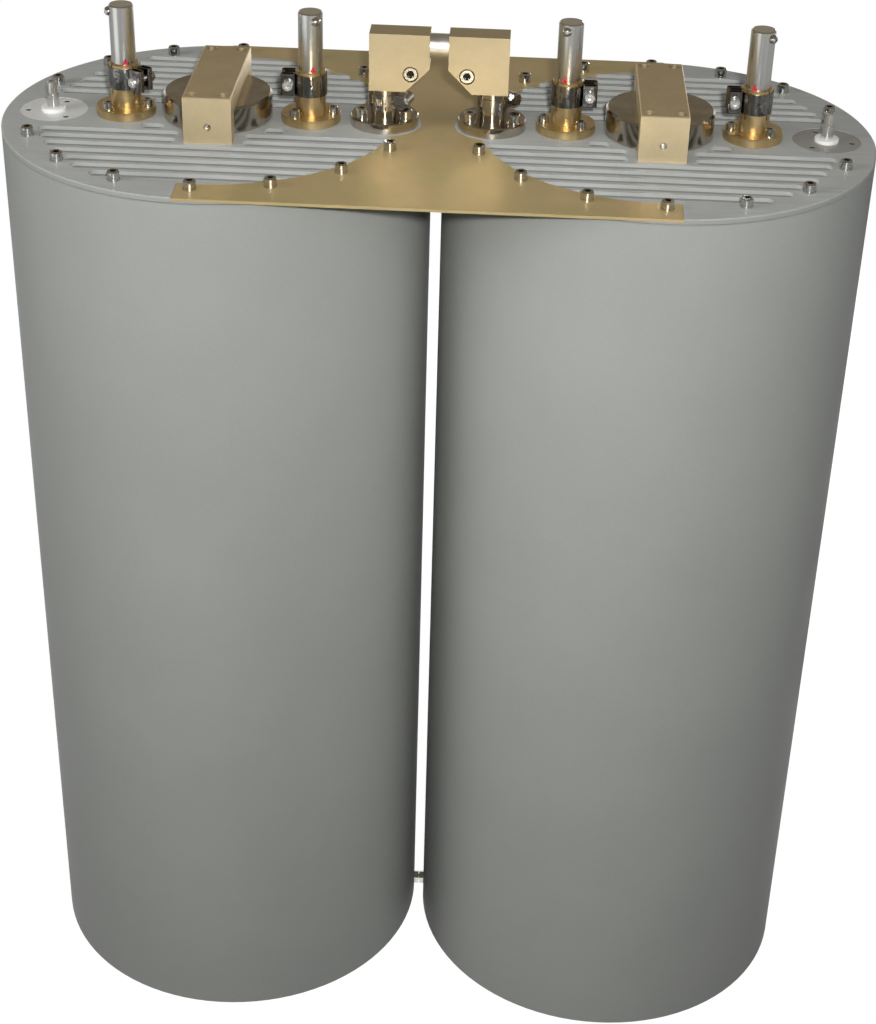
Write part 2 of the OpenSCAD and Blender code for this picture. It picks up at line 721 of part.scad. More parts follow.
module clamp_nuts() {
    color(steel) on_ears() translate([0, ear_gap/2 + ear_t, 0]) rotate([-90, 0, 0]) difference() {
        cylinder(d = m4[1]/cos(30), h = m4[4], $fn = 6);
        translate([0, 0, -cut]) cylinder(d = m4[0], h = m4[4] + 2*cut);
    }
}

module collar_screws() {
    color(steel) for (i = [0:3]) translate([rod_x(i), 0, top + collar_flange_t])
        on_circle(collar_screw_r, collar_angles(rod_stations[i][0]))
        cap_screw(m4, collar_flange_t + thread_in - thread_end, washer = true);
}

// Nickel link flange with its neck round the riser tube
module link_flange(s) {
    r = seat_d/2;
    neck = link_neck_d/2;
    color(nickel) translate([s*link_x, 0, 0]) difference() {
        rotate_extrude() polygon([
            [line_d/2 + fit, seat_z], [r, seat_z], [r, top + link_flange_t - edge],
            [r - edge, top + link_flange_t], [neck, top + link_flange_t],
            [neck, top + block_z], [line_d/2 + fit, top + block_z]]);
        translate([0, 0, seat_z - cut]) on_circle(seat_screw_r, link_angles)
            cylinder(d = m5[0] + hole_play, h = link_flange_t + seat_t + 2*cut);
    }
}

module left_link_flange() link_flange(-1);
module right_link_flange() link_flange(1);

module link_screws() {
    color(steel) for (s = [-1, 1]) translate([s*link_x, 0, top + link_flange_t])
        on_circle(seat_screw_r, link_angles)
        cap_screw(m5, link_flange_t + thread_in - thread_end, washer = true);
}

// Riser tube from the cover's underside up into the elbow block
module link_riser(s) {
    color(nickel) translate([s*link_x, 0, under])
        tube(line_d/2, line_bore/2, axis_z - line_bore/2 - line_seat - under);
}

module left_link_riser() link_riser(-1);
module right_link_riser() link_riser(1);

// Worm-drive hose clamp: band, and a housing beside it for the worm screw
module hose_clamp(i) {
    s = i == 0 ? -1 : 1;
    color(steel) translate([s*link_x, 0, hose_z]) rotate([0, 0, hose_angles[i]]) difference() {
        union() {
            cylinder(r = hose_r + hose_t, h = hose_h);
            translate([0, -house_l/2, 0]) cube([worm_r, house_l, hose_h]);
            translate([worm_r, 0, hose_h/2]) rotate([90, 0, 0])
                cylinder(d = hose_h, h = house_l, center = true);
        }
        translate([0, 0, -cut]) cylinder(r = hose_r, h = hose_h + 2*cut);
        translate([worm_r, 0, hose_h/2]) rotate([90, 0, 0])
            cylinder(d = worm_d, h = house_l + 2*cut, center = true);
        translate([0, 0, hose_h/2]) on_circle(hose_r, band_slots)
            cube([4*hose_t, band_slot_w, hose_h/2], center = true);
    }
}

module left_hose_clamp() hose_clamp(0);
module right_hose_clamp() hose_clamp(1);

// Worm screws with slotted hexagon heads
module worm_screws() {
    length = house_l + worm_head_l;
    color(steel) for (i = [0, 1]) translate([(i == 0 ? -1 : 1)*link_x, 0, hose_z + hose_h/2])
        rotate([0, 0, hose_angles[i]]) translate([worm_r, house_l/2, 0]) rotate([90, 0, 0]) difference() {
            union() {
                cylinder(d = worm_d - 2*fit, h = length);
                translate([0, 0, house_l])
                    cylinder(d = (worm_d + worm_rim)/cos(30), h = worm_head_l, $fn = 6);
            }
            translate([-worm_d, -worm_slot_w/2, length - worm_slot_h])
                cube([2*worm_d, worm_slot_w, worm_slot_h + cut]);
        }
}

// Elbow block with its lower inner corner cut off, bored for the riser and the link tube
module elbow_block(s) {
    c = block_chamfer;
    lo = top + block_z;
    hi = lo + block_h;
    color(gold) mirror([s < 0 ? 1 : 0, 0, 0]) difference() {
        rotate([90, 0, 0]) translate([0, 0, -block_d/2]) linear_extrude(block_d) polygon([
            [block_in + c, lo], [block_out, lo], [block_out, hi], [block_in, hi], [block_in, lo + c]]);
        translate([link_x, 0, lo - cut])
            cylinder(d = line_d + 2*fit, h = axis_z - line_bore/2 - line_seat - lo + cut + fit);
        translate([link_x, 0, lo]) cylinder(d = line_bore, h = axis_z - lo);
        translate([link_x, 0, axis_z]) sphere(d = line_bore);
        translate([block_in - cut, 0, axis_z]) rotate([0, 90, 0]) {
            cylinder(d = line_d + 2*fit, h = link_x - line_bore/2 - line_seat - block_in + cut + fit);
            cylinder(d = line_bore, h = link_x - block_in + cut);
        }
        translate([link_x - block_screw_x, 0, lo + block_screw_z]) rotate([90, 0, 0]) {
            cylinder(d = m6[0], h = block_d + 2*cut, center = true);
            translate([0, 0, block_seat]) cylinder(d = block_bore_d, h = block_d/2 - block_seat + cut);
        }
    }
}

module left_elbow_block() elbow_block(-1);
module right_elbow_block() elbow_block(1);

module elbow_screws() {
    color(steel) for (s = [-1, 1])
        translate([s*(link_x - block_screw_x), -block_seat, top + block_z + block_screw_z])
            rotate([90, 0, 0]) cap_screw(m6, block_seat + block_d/2 - thread_end);
}

module link_tube() {
    reach = link_x - line_bore/2 - line_seat;
    color(silver) translate([-reach, 0, axis_z]) rotate([0, 90, 0]) tube(line_d/2, line_bore/2, 2*reach);
}

// A quarter bend of the inner conductor in the XZ plane, from +X of its centre up to +Z
module core_bend() {
    rotate([90, 0, 0]) rotate_extrude(angle = 90, $fn = 48) translate([bend_r, 0])
        circle(d = core_d, $fn = 24);
}

// Coupling loop below a cover: down at x = 0, across to x = loop_w and up to a foot on the cover
module coupling_loop(from_z) {
    low = under - loop_depth;
    translate([0, 0, low + bend_r]) cylinder(d = core_d, h = from_z - low - bend_r, $fn = 24);
    translate([bend_r, 0, low + bend_r]) rotate([0, 180, 0]) core_bend();
    translate([bend_r, 0, low]) rotate([0, 90, 0]) cylinder(d = core_d, h = loop_w - 2*bend_r, $fn = 24);
    translate([loop_w - bend_r, 0, low + bend_r]) mirror([0, 0, 1]) core_bend();
    translate([loop_w, 0, low + bend_r]) cylinder(d = core_d, h = loop_depth - bend_r, $fn = 24);
    translate([loop_w, 0, under - foot_t]) cylinder(d = foot_d, h = foot_t);
}

// Inner conductor of the link: a bar through the tube, two drops and a loop in each cavity
module link_conductor() {
    color(silver) {
        translate([bend_r - link_x, 0, axis_z]) rotate([0, 90, 0])
            cylinder(d = core_d, h = 2*(link_x - bend_r), $fn = 24);
        for (s = [-1, 1]) mirror([s < 0 ? 1 : 0, 0, 0]) {
            translate([link_x - bend_r, 0, axis_z - bend_r]) core_bend();
            translate([link_x, 0, 0]) coupling_loop(axis_z - bend_r);
        }
    }
}

// Insulating beads of the link: two in each riser and two in the link tube
module link_beads() {
    color(white) for (s = [-1, 1]) {
        for (z = [under, top + block_z - link_bead_t]) translate([s*link_x, 0, z])
            tube(line_bore/2 - fit, core_d/2 + fit, link_bead_t);
        translate([s*link_x/3 - link_bead_t/2, 0, axis_z]) rotate([0, 90, 0])
            tube(line_bore/2 - fit, core_d/2 + fit, link_bead_t);
    }
}

// Port insulator: a head on the seat and a shank through the cover
module port_insulator(s) {
    color(white) translate([s*port_x, 0, 0]) rotate_extrude() polygon([
        [shank_d/2 + fit, under], [line_bore/2, under], [line_bore/2, seat_z], [bead_d/2, seat_z],
        [bead_d/2, top + bead_h - small_edge], [bead_d/2 - small_edge, top + bead_h],
        [shank_d/2 + fit, top + bead_h]]);
}

module left_port_insulator() port_insulator(-1);
module right_port_insulator() port_insulator(1);

// Port conductor: the pin on the insulator, a shank through it and the coupling loop below it
module port_conductor(s) {
    color(silver) translate([s*port_x, 0, 0]) mirror([s > 0 ? 1 : 0, 0, 0]) difference() {
        union() {
            coupling_loop(under);
            translate([0, 0, under - cut]) cylinder(d = shank_d, h = top + bead_h + 2*cut - under);
            translate([0, 0, top + bead_h]) cylinder(d = pin_base_d, h = pin_step - bead_h);
            translate([0, 0, top + bead_h]) cylinder(d = core_d, h = pin_h - bead_h - edge);
            translate([0, 0, top + pin_h - edge]) cylinder(d1 = core_d, d2 = core_d - 2*edge, h = edge);
        }
        translate([0, 0, top + pin_h - pin_bore_h]) cylinder(d = core_d/2, h = pin_bore_h + cut);
    }
}

module left_port_conductor() port_conductor(-1);
module right_port_conductor() port_conductor(1);

// Spacer stud low in the gap, with a nut against each tube
module spacer() {
    half = tube_gap/2;
    reach = half + stud_in - thread_end;
    color(steel) translate([0, 0, spacer_z]) rotate([0, 90, 0]) {
        translate([0, 0, -reach]) cylinder(d = m6[0] - 2*fit, h = 2*reach);
        for (z = [-half + fit, half - fit - m6[4]]) translate([0, 0, z])
            cylinder(d = m6[1]/cos(30), h = m6[4], $fn = 6);
    }
}

left_cavity_tube();
right_cavity_tube();
left_top_cover();
right_top_cover();
left_bottom_plate();
right_bottom_plate();
rim_screws();
base_screws();
bridge_plate();
left_resonator();
right_resonator();
resonator_screws();
left_resonator_tip();
right_resonator_tip();
left_spindle();
right_spindle();
left_head_disc();
right_head_disc();
left_bridge_bar();
right_bridge_bar();
bar_screws();
grub_screws();
left_outer_rod();
left_inner_rod();
right_inner_rod();
right_outer_rod();
left_outer_stop_screw();
left_inner_stop_screw();
right_inner_stop_screw();
right_outer_stop_screw();
left_outer_collar();
left_inner_collar();
right_inner_collar();
right_outer_collar();
left_outer_clamp();
left_inner_clamp();
right_inner_clamp();
right_outer_clamp();
clamp_screws();
clamp_nuts();
collar_screws();
left_link_flange();
right_link_flange();
link_screws();
left_link_riser();
right_link_riser();
left_hose_clamp();
right_hose_clamp();
worm_screws();
left_elbow_block();
right_elbow_block();
elbow_screws();
link_tube();
link_conductor();
link_beads();
left_port_insulator();
right_port_insulator();
left_port_conductor();
right_port_conductor();
spacer();
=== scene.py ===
import bpy
import numpy as np
from mathutils import Matrix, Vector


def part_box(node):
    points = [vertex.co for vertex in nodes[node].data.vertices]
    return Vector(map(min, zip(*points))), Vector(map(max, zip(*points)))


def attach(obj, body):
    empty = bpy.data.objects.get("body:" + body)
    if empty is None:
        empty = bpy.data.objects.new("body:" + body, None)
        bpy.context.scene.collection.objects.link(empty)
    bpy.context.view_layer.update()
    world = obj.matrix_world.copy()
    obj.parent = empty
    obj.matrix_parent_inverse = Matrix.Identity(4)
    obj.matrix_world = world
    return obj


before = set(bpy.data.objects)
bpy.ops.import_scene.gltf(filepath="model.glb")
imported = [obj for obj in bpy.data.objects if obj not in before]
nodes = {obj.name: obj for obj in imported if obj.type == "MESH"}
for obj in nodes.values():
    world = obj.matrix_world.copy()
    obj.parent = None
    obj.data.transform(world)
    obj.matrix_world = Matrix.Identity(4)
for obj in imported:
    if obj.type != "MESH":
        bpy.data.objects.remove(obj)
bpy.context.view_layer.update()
scene = bpy.context.scene
scene.view_settings.view_transform = "Standard"
print("frame loaded:", len(nodes), "nodes")


def middleOf(node):
    low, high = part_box(node)
    return (low + high) / 2


# places that the finishes follow, in metres; the two cavities mirror each other about X = 0
cavityX = middleOf("right_cavity_tube").x
portX = middleOf("right_port_insulator").x
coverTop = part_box("right_top_cover")[1].z
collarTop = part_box("right_outer_collar")[1].z

# viewpoint worked out from the photograph: metres and radians, focal length and long side in pixels
viewpoint = {"place": (0.0557, -1.3595, 1.2194), "yaw": 0.0353, "pitch": 0.5487, "roll": 0.0285,
             "focal": 2043.886, "longSide": 1024, "sensor": 36, "clip": (0.05, 50)}


def setCamera(view):
    # forward from yaw and pitch, then right and up turned about it by the roll
    cosYaw, sinYaw = np.cos(view["yaw"]), np.sin(view["yaw"])
    cosPitch, sinPitch = np.cos(view["pitch"]), np.sin(view["pitch"])
    cosRoll, sinRoll = np.cos(view["roll"]), np.sin(view["roll"])
    forward = np.array([-sinYaw * cosPitch, cosYaw * cosPitch, -sinPitch])
    level = np.array([cosYaw, sinYaw, 0])
    lift = np.cross(level, forward)
    right, up = cosRoll * level + sinRoll * lift, cosRoll * lift - sinRoll * level
    camera = bpy.data.objects.new("camera", bpy.data.cameras.new("camera"))
    turn = Matrix(np.column_stack([right, up, -forward]).tolist()).to_4x4()
    camera.matrix_world = Matrix.Translation(view["place"]) @ turn
    camera.data.sensor_width = view["sensor"]
    camera.data.lens = view["focal"] * view["sensor"] / view["longSide"]
    camera.data.clip_start, camera.data.clip_end = view["clip"]
    scene.collection.objects.link(camera)
    scene.camera = camera


setCamera(viewpoint)
print("camera set")


class Wire:
    # one socket in a node tree; sums and products of wires add Math nodes
    def __init__(self, tree, socket=None):
        self.tree, self.socket = tree, socket

    def node(self, kind, settings=None, links=None, out=0):
        made = self.tree.nodes.new(kind)
        for key, value in (settings or {}).items():
            setattr(made, key, value)
        for key, value in (links or {}).items():
            if isinstance(value, Wire):
                self.tree.links.new(made.inputs[key], value.socket)
            else:
                made.inputs[key].default_value = value
        return Wire(self.tree, made.outputs[out])

    def sums(self, operation, *others):
        return self.node("ShaderNodeMath", {"operation": operation}, dict(enumerate((self, *others))))

    def __add__(self, other):
        return self.sums("ADD", other)

    def __sub__(self, other):
        return self.sums("SUBTRACT", other)

    def __rsub__(self, other):
        return self.node("ShaderNodeMath", {"operation": "SUBTRACT"}, {0: other, 1: self})

    def __mul__(self, other):
        return self.sums("MULTIPLY", other)

    def __lt__(self, other):
        return self.sums("LESS_THAN", other)

    def __gt__(self, other):
        return self.sums("GREATER_THAN", other)

    __radd__, __rmul__ = __add__, __mul__

    def within(self, limits):
        return (self > limits[0]) * (self < limits[1])

    def blend(self, first, second):
        # colour mix with this wire as its factor
        mix = {0: self, 6: colour(first), 7: colour(second)}
        return self.node("ShaderNodeMix", {"data_type": "RGBA"}, mix, 2)

    def spread(self, source, target=(0.0, 1.0)):
        # from one range to another, held at its ends
        ends = {"From Min": source[0], "From Max": source[1], "To Min": target[0], "To Max": target[1]}
        return self.node("ShaderNodeMapRange", links={"Value": self, **ends})

    def bumped(self, distance):
        return self.node("ShaderNodeBump", links={"Height": self, "Distance": distance, "Strength": 1.0})

    def parts(self):
        # the three coordinates of a vector wire
        split = self.node("ShaderNodeSeparateXYZ", links={"Vector": self}).socket.node
        return [Wire(self.tree, output) for output in split.outputs]

    def noise(self, scale, stretch=(1, 1, 1), detail=3.0, rough=0.55):
        # noise of a given grain at this place; stretch below 1 draws it out along that axis
        mapped = self.node("ShaderNodeMapping", links={"Vector": self, "Scale": stretch})
        return self.node("ShaderNodeTexNoise", links={"Vector": mapped, "Scale": scale, "Detail": detail,
                                                      "Roughness": rough})


def colour(tone):
    # a tone as Blender's four values; a wire stays as it is
    return tone if isinstance(tone, Wire) else (*tone, 1.0)


def mixed(wires, shares):
    return sum(wire * share for wire, share in zip(wires, shares))


def roundAxis(x, other, centreX):
    # distance from the nearer of two axes, at plus and minus centreX in X and 0 in the other coordinate
    away = x.sums("ABSOLUTE") - centreX
    return (away * away + other * other).sums("SQRT")


def newMaterial(name, **fixed):
    # a Principled material; fixed values go straight onto the shader's sockets
    material = bpy.data.materials.new(name)
    material.use_nodes = True
    shader = material.node_tree.nodes["Principled BSDF"]
    for key, value in fixed.items():
        shader.inputs[key].default_value = value
    place = Wire(material.node_tree).node("ShaderNodeTexCoord", out="Object")
    return material, place, shader


def join(shader, wires):
    for key, wire in wires.items():
        wire.tree.links.new(shader.inputs[key], wire.socket)


noiseRange = (0.3, 0.7)  # where nearly all of a noise's values lie

# in each finish below, scales are per metre, depth is the relief in metres, and contrast is the part of the
# noise that runs from the dark tone to the light one

# grey enamel on the tubes and bottom plates: fine orange peel, soft clouds, very faint runs down the wall,
# and painted shade: a darker tone on the chamfer at the joint under the cover, where shade falls
tubeEnamel = {"dark": (0.345, 0.355, 0.336), "light": (0.371, 0.381, 0.358), "contrast": (0.38, 0.62),
              "peel": {"scale": 900.0, "detail": 2.0}, "cloud": {"scale": 9.0, "detail": 5.0},
              "runs": {"scale": 60.0, "stretch": (1, 1, 0.03)}, "shares": (0.40, 0.55, 0.05),
              "rough": (0.40, 0.54), "specular": 0.03, "ior": 1.45, "depth": 50e-6,
              "jointShade": (0.28, 0.285, 0.27), "jointShadeDrop": 0.0047}


def makeTubeEnamel(look):
    gloss = {"Metallic": 0.0, "IOR": look["ior"], "Specular IOR Level": look["specular"]}
    material, place, shader = newMaterial("tubeEnamel", **gloss)
    peel, cloud, runs = [place.noise(**look[kind]) for kind in ("peel", "cloud", "runs")]
    tone = mixed((peel, cloud, runs), look["shares"]).spread(look["contrast"])
    # painted shade: a darker tone on the joint's chamfer, just under the covers' top
    jointShade = place.parts()[2] > coverTop - look["jointShadeDrop"]
    join(shader, {"Base Color": jointShade.blend(tone.blend(look["dark"], look["light"]), look["jointShade"]),
                  "Roughness": cloud.spread(noiseRange, look["rough"]),
                  "Normal": peel.bumped(look["depth"])})
    return material


# the covers' enamel, milled along X, with painted shade and light: the lip's side face painted darker than
# the top, in the tubes' tone; painted shade over the joint's seam and low on the slots' walls; two port seats
# of bare turned metal, the left a lit copy and the right a shaded copy; and near-black painted shade in the
# holes; each drop is measured from the covers' top
coverEnamel = {"dark": (0.360, 0.370, 0.354), "light": (0.438, 0.448, 0.430), "contrast": (0.38, 0.62),
               "peel": {"scale": 1100.0, "detail": 2.0}, "cloud": {"scale": 22.0, "detail": 5.0},
               "drawn": {"scale": 420.0, "stretch": (0.05, 1, 1), "detail": 2.0},
               "shares": (0.20, 0.45, 0.35), "rough": (0.40, 0.52), "specular": 0.25, "ior": 1.45,
               "depth": 50e-6, "lip": (0.335, 0.345, 0.326), "lipR": 0.1494, "slotR": 0.148,
               "seamShade": (0.28, 0.285, 0.27), "seamShadeDrop": 0.0033,
               "slotShade": (0.19, 0.19, 0.18), "slotShadeDrop": 0.0026, "shadeBandEnd": 0.00395,
               "litLeftSeat": (0.78, 0.79, 0.78), "shadedRightSeat": (0.33, 0.325, 0.303), "seatMetal": 0.35,
               "seatR": 0.02372, "seatDrop": (0.00015, 0.0010), "seatGloss": 0.12,
               "ring": 9000.0, "ringShare": 0.3,
               "hole": (0.08, 0.08, 0.07), "holeDrop": (0.0006, 0.0100)}


def makeCoverEnamel(look):
    gloss = {"IOR": look["ior"], "Specular IOR Level": look["specular"]}
    material, place, shader = newMaterial("coverEnamel", **gloss)
    x, y, z = place.parts()
    drop = coverTop - z
    peel, cloud, drawn = [place.noise(**look[kind]) for kind in ("peel", "cloud", "drawn")]
    tone = mixed((peel, cloud, drawn), look["shares"]).spread(look["contrast"])
    fromCavity, fromPort = roundAxis(x, y, cavityX), roundAxis(x, y, portX)
    lip, slots = fromCavity > look["lipR"], fromCavity < look["slotR"]
    # painted shade in a band below the covers' top: over the joint's seam, and low on the slots' walls
    shadeBandStart = look["seamShadeDrop"] - slots * (look["seamShadeDrop"] - look["slotShadeDrop"])
    shadeBand = (drop > shadeBandStart) * (drop < look["shadeBandEnd"])
    # painted shade: the lip's side face, beyond lipR, takes a darker tone than the top
    enamel = lip.blend(tone.blend(look["dark"], look["light"]), look["lip"])
    paint = shadeBand.blend(enamel, slots.blend(look["seamShade"], look["slotShade"]))
    port = fromPort < look["seatR"]
    seat, hole = port * drop.within(look["seatDrop"]), port * drop.within(look["holeDrop"])
    # the seats' bare metal as lit and shaded copies: painted light on the left seat, painted shade on the
    # right
    seatLitAndShaded = (x > 0).blend(look["litLeftSeat"], look["shadedRightSeat"])
    rings = (fromPort * look["ring"]).sums("SINE")
    # painted shade, near black, in the port's holes below the seats
    join(shader, {"Base Color": hole.blend(seat.blend(paint, seatLitAndShaded), look["hole"]),
                  "Metallic": seat * look["seatMetal"],
                  "Roughness": cloud.spread(noiseRange, look["rough"]) - seat * look["seatGloss"],
                  "Normal": (peel * (1 - seat) + rings * seat * look["ringShare"]).bumped(look["depth"])})
    return material


# yellow chromate on aluminium: grain along the rolling or milling direction, with patches that turn green
# and pink
plateChromate = {"name": "plateChromate", "green": (0.47, 0.387, 0.178), "pink": (0.58, 0.427, 0.224),
                 "metal": 0.42, "rough": (0.35, 0.49), "contrast": (0.36, 0.64), "depth": 8e-6,
                 "grain": {"scale": 700.0, "stretch": (0.06, 1, 1), "detail": 2.0},
                 "patch": {"scale": 26.0, "detail": 4.0}, "shares": (0.35, 0.65)}
barChromate = {"name": "barChromate", "green": (0.64, 0.538, 0.336), "pink": (0.77, 0.633, 0.406),
               "metal": 0.88, "rough": (0.44, 0.58), "contrast": (0.36, 0.64), "depth": 20e-6,
               "grain": {"scale": 1300.0, "detail": 2.0},
               "patch": {"scale": 45.0, "detail": 4.0}, "shares": (0.6, 0.4)}
# the elbow blocks take a darker copy of the bars' chromate: painted shade
elbowChromateShaded = dict(barChromate, name="elbowChromateShaded",
                     green=(0.545, 0.462, 0.292), pink=(0.658, 0.545, 0.352))


def makeChromate(look):
    material, place, shader = newMaterial(look["name"], Metallic=look["metal"])
    grain, patch = place.noise(**look["grain"]), place.noise(**look["patch"])
    tone = mixed((grain, patch), look["shares"]).spread(look["contrast"])
    join(shader, {"Base Color": tone.blend(look["green"], look["pink"]),
                  "Roughness": grain.spread(noiseRange, look["rough"]),
                  "Normal": grain.bumped(look["depth"])})
    return material


# bare and plated metals: tone from dark to light, tool marks drawn out along one direction, tarnish in
# clouds; share is the marks' part of the tone
metals = {
    "discNickel": {"dark": (0.43, 0.390, 0.320), "light": (0.61, 0.560, 0.485), "rough": 0.15, "metal": 1.0,
                   "marks": 900, "stretch": (1, 1, 0.03), "cloud": 60, "share": 0.45, "depth": 10e-6},
    "linkNickel": {"dark": (0.46, 0.415, 0.340), "light": (0.64, 0.590, 0.510), "rough": 0.13, "metal": 1.0,
                   "marks": 1200, "stretch": (0.08, 0.08, 1), "cloud": 90, "share": 0.25, "depth": 12e-6},
    "collarBrass": {"dark": (0.55, 0.400, 0.180), "light": (0.68, 0.525, 0.285), "rough": 0.35, "metal": 0.92,
                    "marks": 1500, "stretch": (0.06, 0.06, 1), "cloud": 120, "share": 0.45, "depth": 12e-6},
    "clampChrome": {"dark": (0.26, 0.255, 0.255), "light": (0.40, 0.395, 0.39), "rough": 0.09, "metal": 1.0,
                    "marks": 150, "stretch": (1, 1, 0.8), "cloud": 90, "share": 0.5, "depth": 400e-6},
    "bandSteel": {"dark": (0.36, 0.35, 0.33), "light": (0.60, 0.59, 0.56), "rough": 0.20, "metal": 1.0,
                  "marks": 900, "stretch": (1, 1, 0.2), "cloud": 250, "share": 0.5, "depth": 40e-6},
    "screwSteel": {"dark": (0.50, 0.50, 0.49), "light": (0.76, 0.76, 0.74), "rough": 0.15, "metal": 1.0,
                   "marks": 1900, "stretch": (1, 1, 0.02), "cloud": 300, "share": 0.6, "depth": 60e-6},
    # the clamps' screws: a lighter copy of the screws' steel, painted light on the heads in the clamps' ears
    "clampSteelLit": {"dark": (0.68, 0.68, 0.67), "light": (0.88, 0.88, 0.87), "rough": 0.24, "metal": 0.8,
                   "marks": 1200, "stretch": (1, 1, 1), "cloud": 300, "share": 0.5, "depth": 20e-6},
    "pinSilver": {"dark": (0.60, 0.60, 0.56), "light": (0.78, 0.78, 0.74), "rough": 0.20, "metal": 0.85,
                  "marks": 1500, "stretch": (0.08, 0.08, 1), "cloud": 200, "share": 0.5, "depth": 10e-6},
    "linkSilver": {"dark": (0.78, 0.78, 0.76), "light": (0.92, 0.92, 0.91), "rough": 0.36, "metal": 1.0,
                   "marks": 1200, "stretch": (0.08, 1, 1), "cloud": 60, "share": 0.5, "depth": 10e-6},
    "copper": {"dark": (0.55, 0.28, 0.16), "light": (0.72, 0.42, 0.28), "rough": 0.30, "metal": 1.0,
               "marks": 700, "stretch": (1, 1, 0.1), "cloud": 40, "share": 0.5, "depth": 30e-6},
}
metalContrast = (0.34, 0.66)
polishSpan = (0.75, 1.3)  # least and most roughness, as shares of a metal's own
cloudDetail = 4.0


def makeMetal(name, look):
    material, place, shader = newMaterial(name, Metallic=look["metal"])
    marks = place.noise(look["marks"], look["stretch"])
    cloud = place.noise(look["cloud"], detail=cloudDetail)
    tone = mixed((marks, cloud), (look["share"], 1 - look["share"])).spread(metalContrast)
    rough = [look["rough"] * share for share in polishSpan]
    join(shader, {"Base Color": tone.blend(look["dark"], look["light"]),
                  "Roughness": cloud.spread(noiseRange, rough), "Normal": marks.bumped(look["depth"])})
    return material


def joinSocketed(look, place, shader, socket):
    # painted shade: screw steel that turns dark and dull where the socket mask is one
    wear = place.noise(look["wear"])
    steel = wear.spread(metalContrast).blend(look["dark"], look["light"])
    join(shader, {"Base Color": socket.blend(steel, look["inside"]),
                  "Roughness": socket * look["dull"] + wear.spread(noiseRange, look["rough"])})


# the elbow blocks' screws: painted shade, near black, inside their sockets, which lie round two axes along Y
elbowSteel = {"dark": (0.42, 0.42, 0.41), "light": (0.66, 0.66, 0.64), "inside": (0.03, 0.03, 0.03),
              "wear": 700.0, "rough": (0.16, 0.28), "dull": 0.3, "headR": 0.0050, "socketR": 0.0026}


def makeElbowSteel(look):
    material, place, shader = newMaterial("elbowSteel", Metallic=1.0)
    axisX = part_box("elbow_screws")[1].x - look["headR"]
    x, _, z = place.parts()
    socket = roundAxis(x, z - middleOf("elbow_screws").z, axisX) < look["socketR"]
    joinSocketed(look, place, shader, socket)
    return material


# the rim screws: painted shade, near black, in their sockets; the angle round the cavity is folded onto one
# screw's share of the circle, and the socket's two heights are measured from the covers' top
rimSteel = {"dark": (0.50, 0.50, 0.49), "light": (0.76, 0.76, 0.74), "inside": (0.035, 0.033, 0.030),
            "wear": 700.0, "rough": (0.11, 0.20), "dull": 0.35, "circle": 0.134, "step": np.radians(22.5),
            "socketR": 0.00225, "socketRise": (0.0030, 0.0062)}


def makeRimSteel(look):
    material, place, shader = newMaterial("rimSteel", Metallic=1.0)
    x, y, z = place.parts()
    angle = y.sums("ARCTAN2", x.sums("ABSOLUTE") - cavityX)
    folded = angle.sums("WRAP", look["step"] / 2, -look["step"] / 2)
    along, off = folded * look["circle"], roundAxis(x, y, cavityX) - look["circle"]
    inside = (along * along + off * off).sums("SQRT") < look["socketR"]
    joinSocketed(look, place, shader, inside * (z - coverTop).within(look["socketRise"]))
    return material


# tuning rods: fine drawn lines along the rod, and a pinkish wipe of paint low on it, just over the collar
rodMetal = {"dark": (0.72, 0.720, 0.690), "light": (0.80, 0.800, 0.770), "contrast": (0.30, 0.70),
            "lines": {"scale": 1100.0, "stretch": (1, 1, 0.004), "detail": 2.0},
            "wear": {"scale": 160.0, "stretch": (1, 1, 0.5), "detail": 4.0}, "shares": (0.8, 0.2),
            "rough": (0.19, 0.23), "wipe": (0.56, 0.40, 0.36), "wipeHigh": 0.012, "wipeLow": -0.004,
            "wipeWear": (0.45, 0.62), "wipeMost": 0.55}


def makeRodMetal(look):
    material, place, shader = newMaterial("rodMetal", Metallic=1.0)
    rise = place.parts()[2] - collarTop
    lines, wear = place.noise(**look["lines"]), place.noise(**look["wear"])
    tone = mixed((lines, wear), look["shares"]).spread(look["contrast"])
    low = rise.spread((0.0, look["wipeHigh"]), (1.0, 0.0)) * (rise > look["wipeLow"])
    wiped = low * wear.spread(look["wipeWear"], (0.0, look["wipeMost"]))
    join(shader, {"Base Color": wiped.blend(tone.blend(look["dark"], look["light"]), look["wipe"]),
                  "Roughness": lines.spread(noiseRange, look["rough"])})
    return material


# white insulators: soft clouds and fine turning marks
insulator = {"dark": (0.74, 0.74, 0.71), "light": (0.84, 0.84, 0.81), "contrast": (0.35, 0.65),
             "cloud": 220.0, "turned": {"scale": 1600.0, "stretch": (0.05, 0.05, 1), "detail": 2.0},
             "rough": (0.38, 0.52), "ior": 1.38, "depth": 30e-6}


def makeInsulator(look):
    material, place, shader = newMaterial("insulator", Metallic=0.0, IOR=look["ior"])
    cloud, turned = place.noise(look["cloud"]), place.noise(**look["turned"])
    join(shader, {"Base Color": cloud.spread(look["contrast"]).blend(look["dark"], look["light"]),
                  "Roughness": cloud.spread(noiseRange, look["rough"]),
                  "Normal": turned.bumped(look["depth"])})
    return material


finishes = {"tubeEnamel": makeTubeEnamel(tubeEnamel), "coverEnamel": makeCoverEnamel(coverEnamel),
            "plateChromate": makeChromate(plateChromate), "barChromate": makeChromate(barChromate),
            "elbowChromateShaded": makeChromate(elbowChromateShaded), "rodMetal": makeRodMetal(rodMetal),
            "elbowSteel": makeElbowSteel(elbowSteel), "rimSteel": makeRimSteel(rimSteel),
            "insulator": makeInsulator(insulator)}
finishes.update((name, makeMetal(name, look)) for name, look in metals.items())

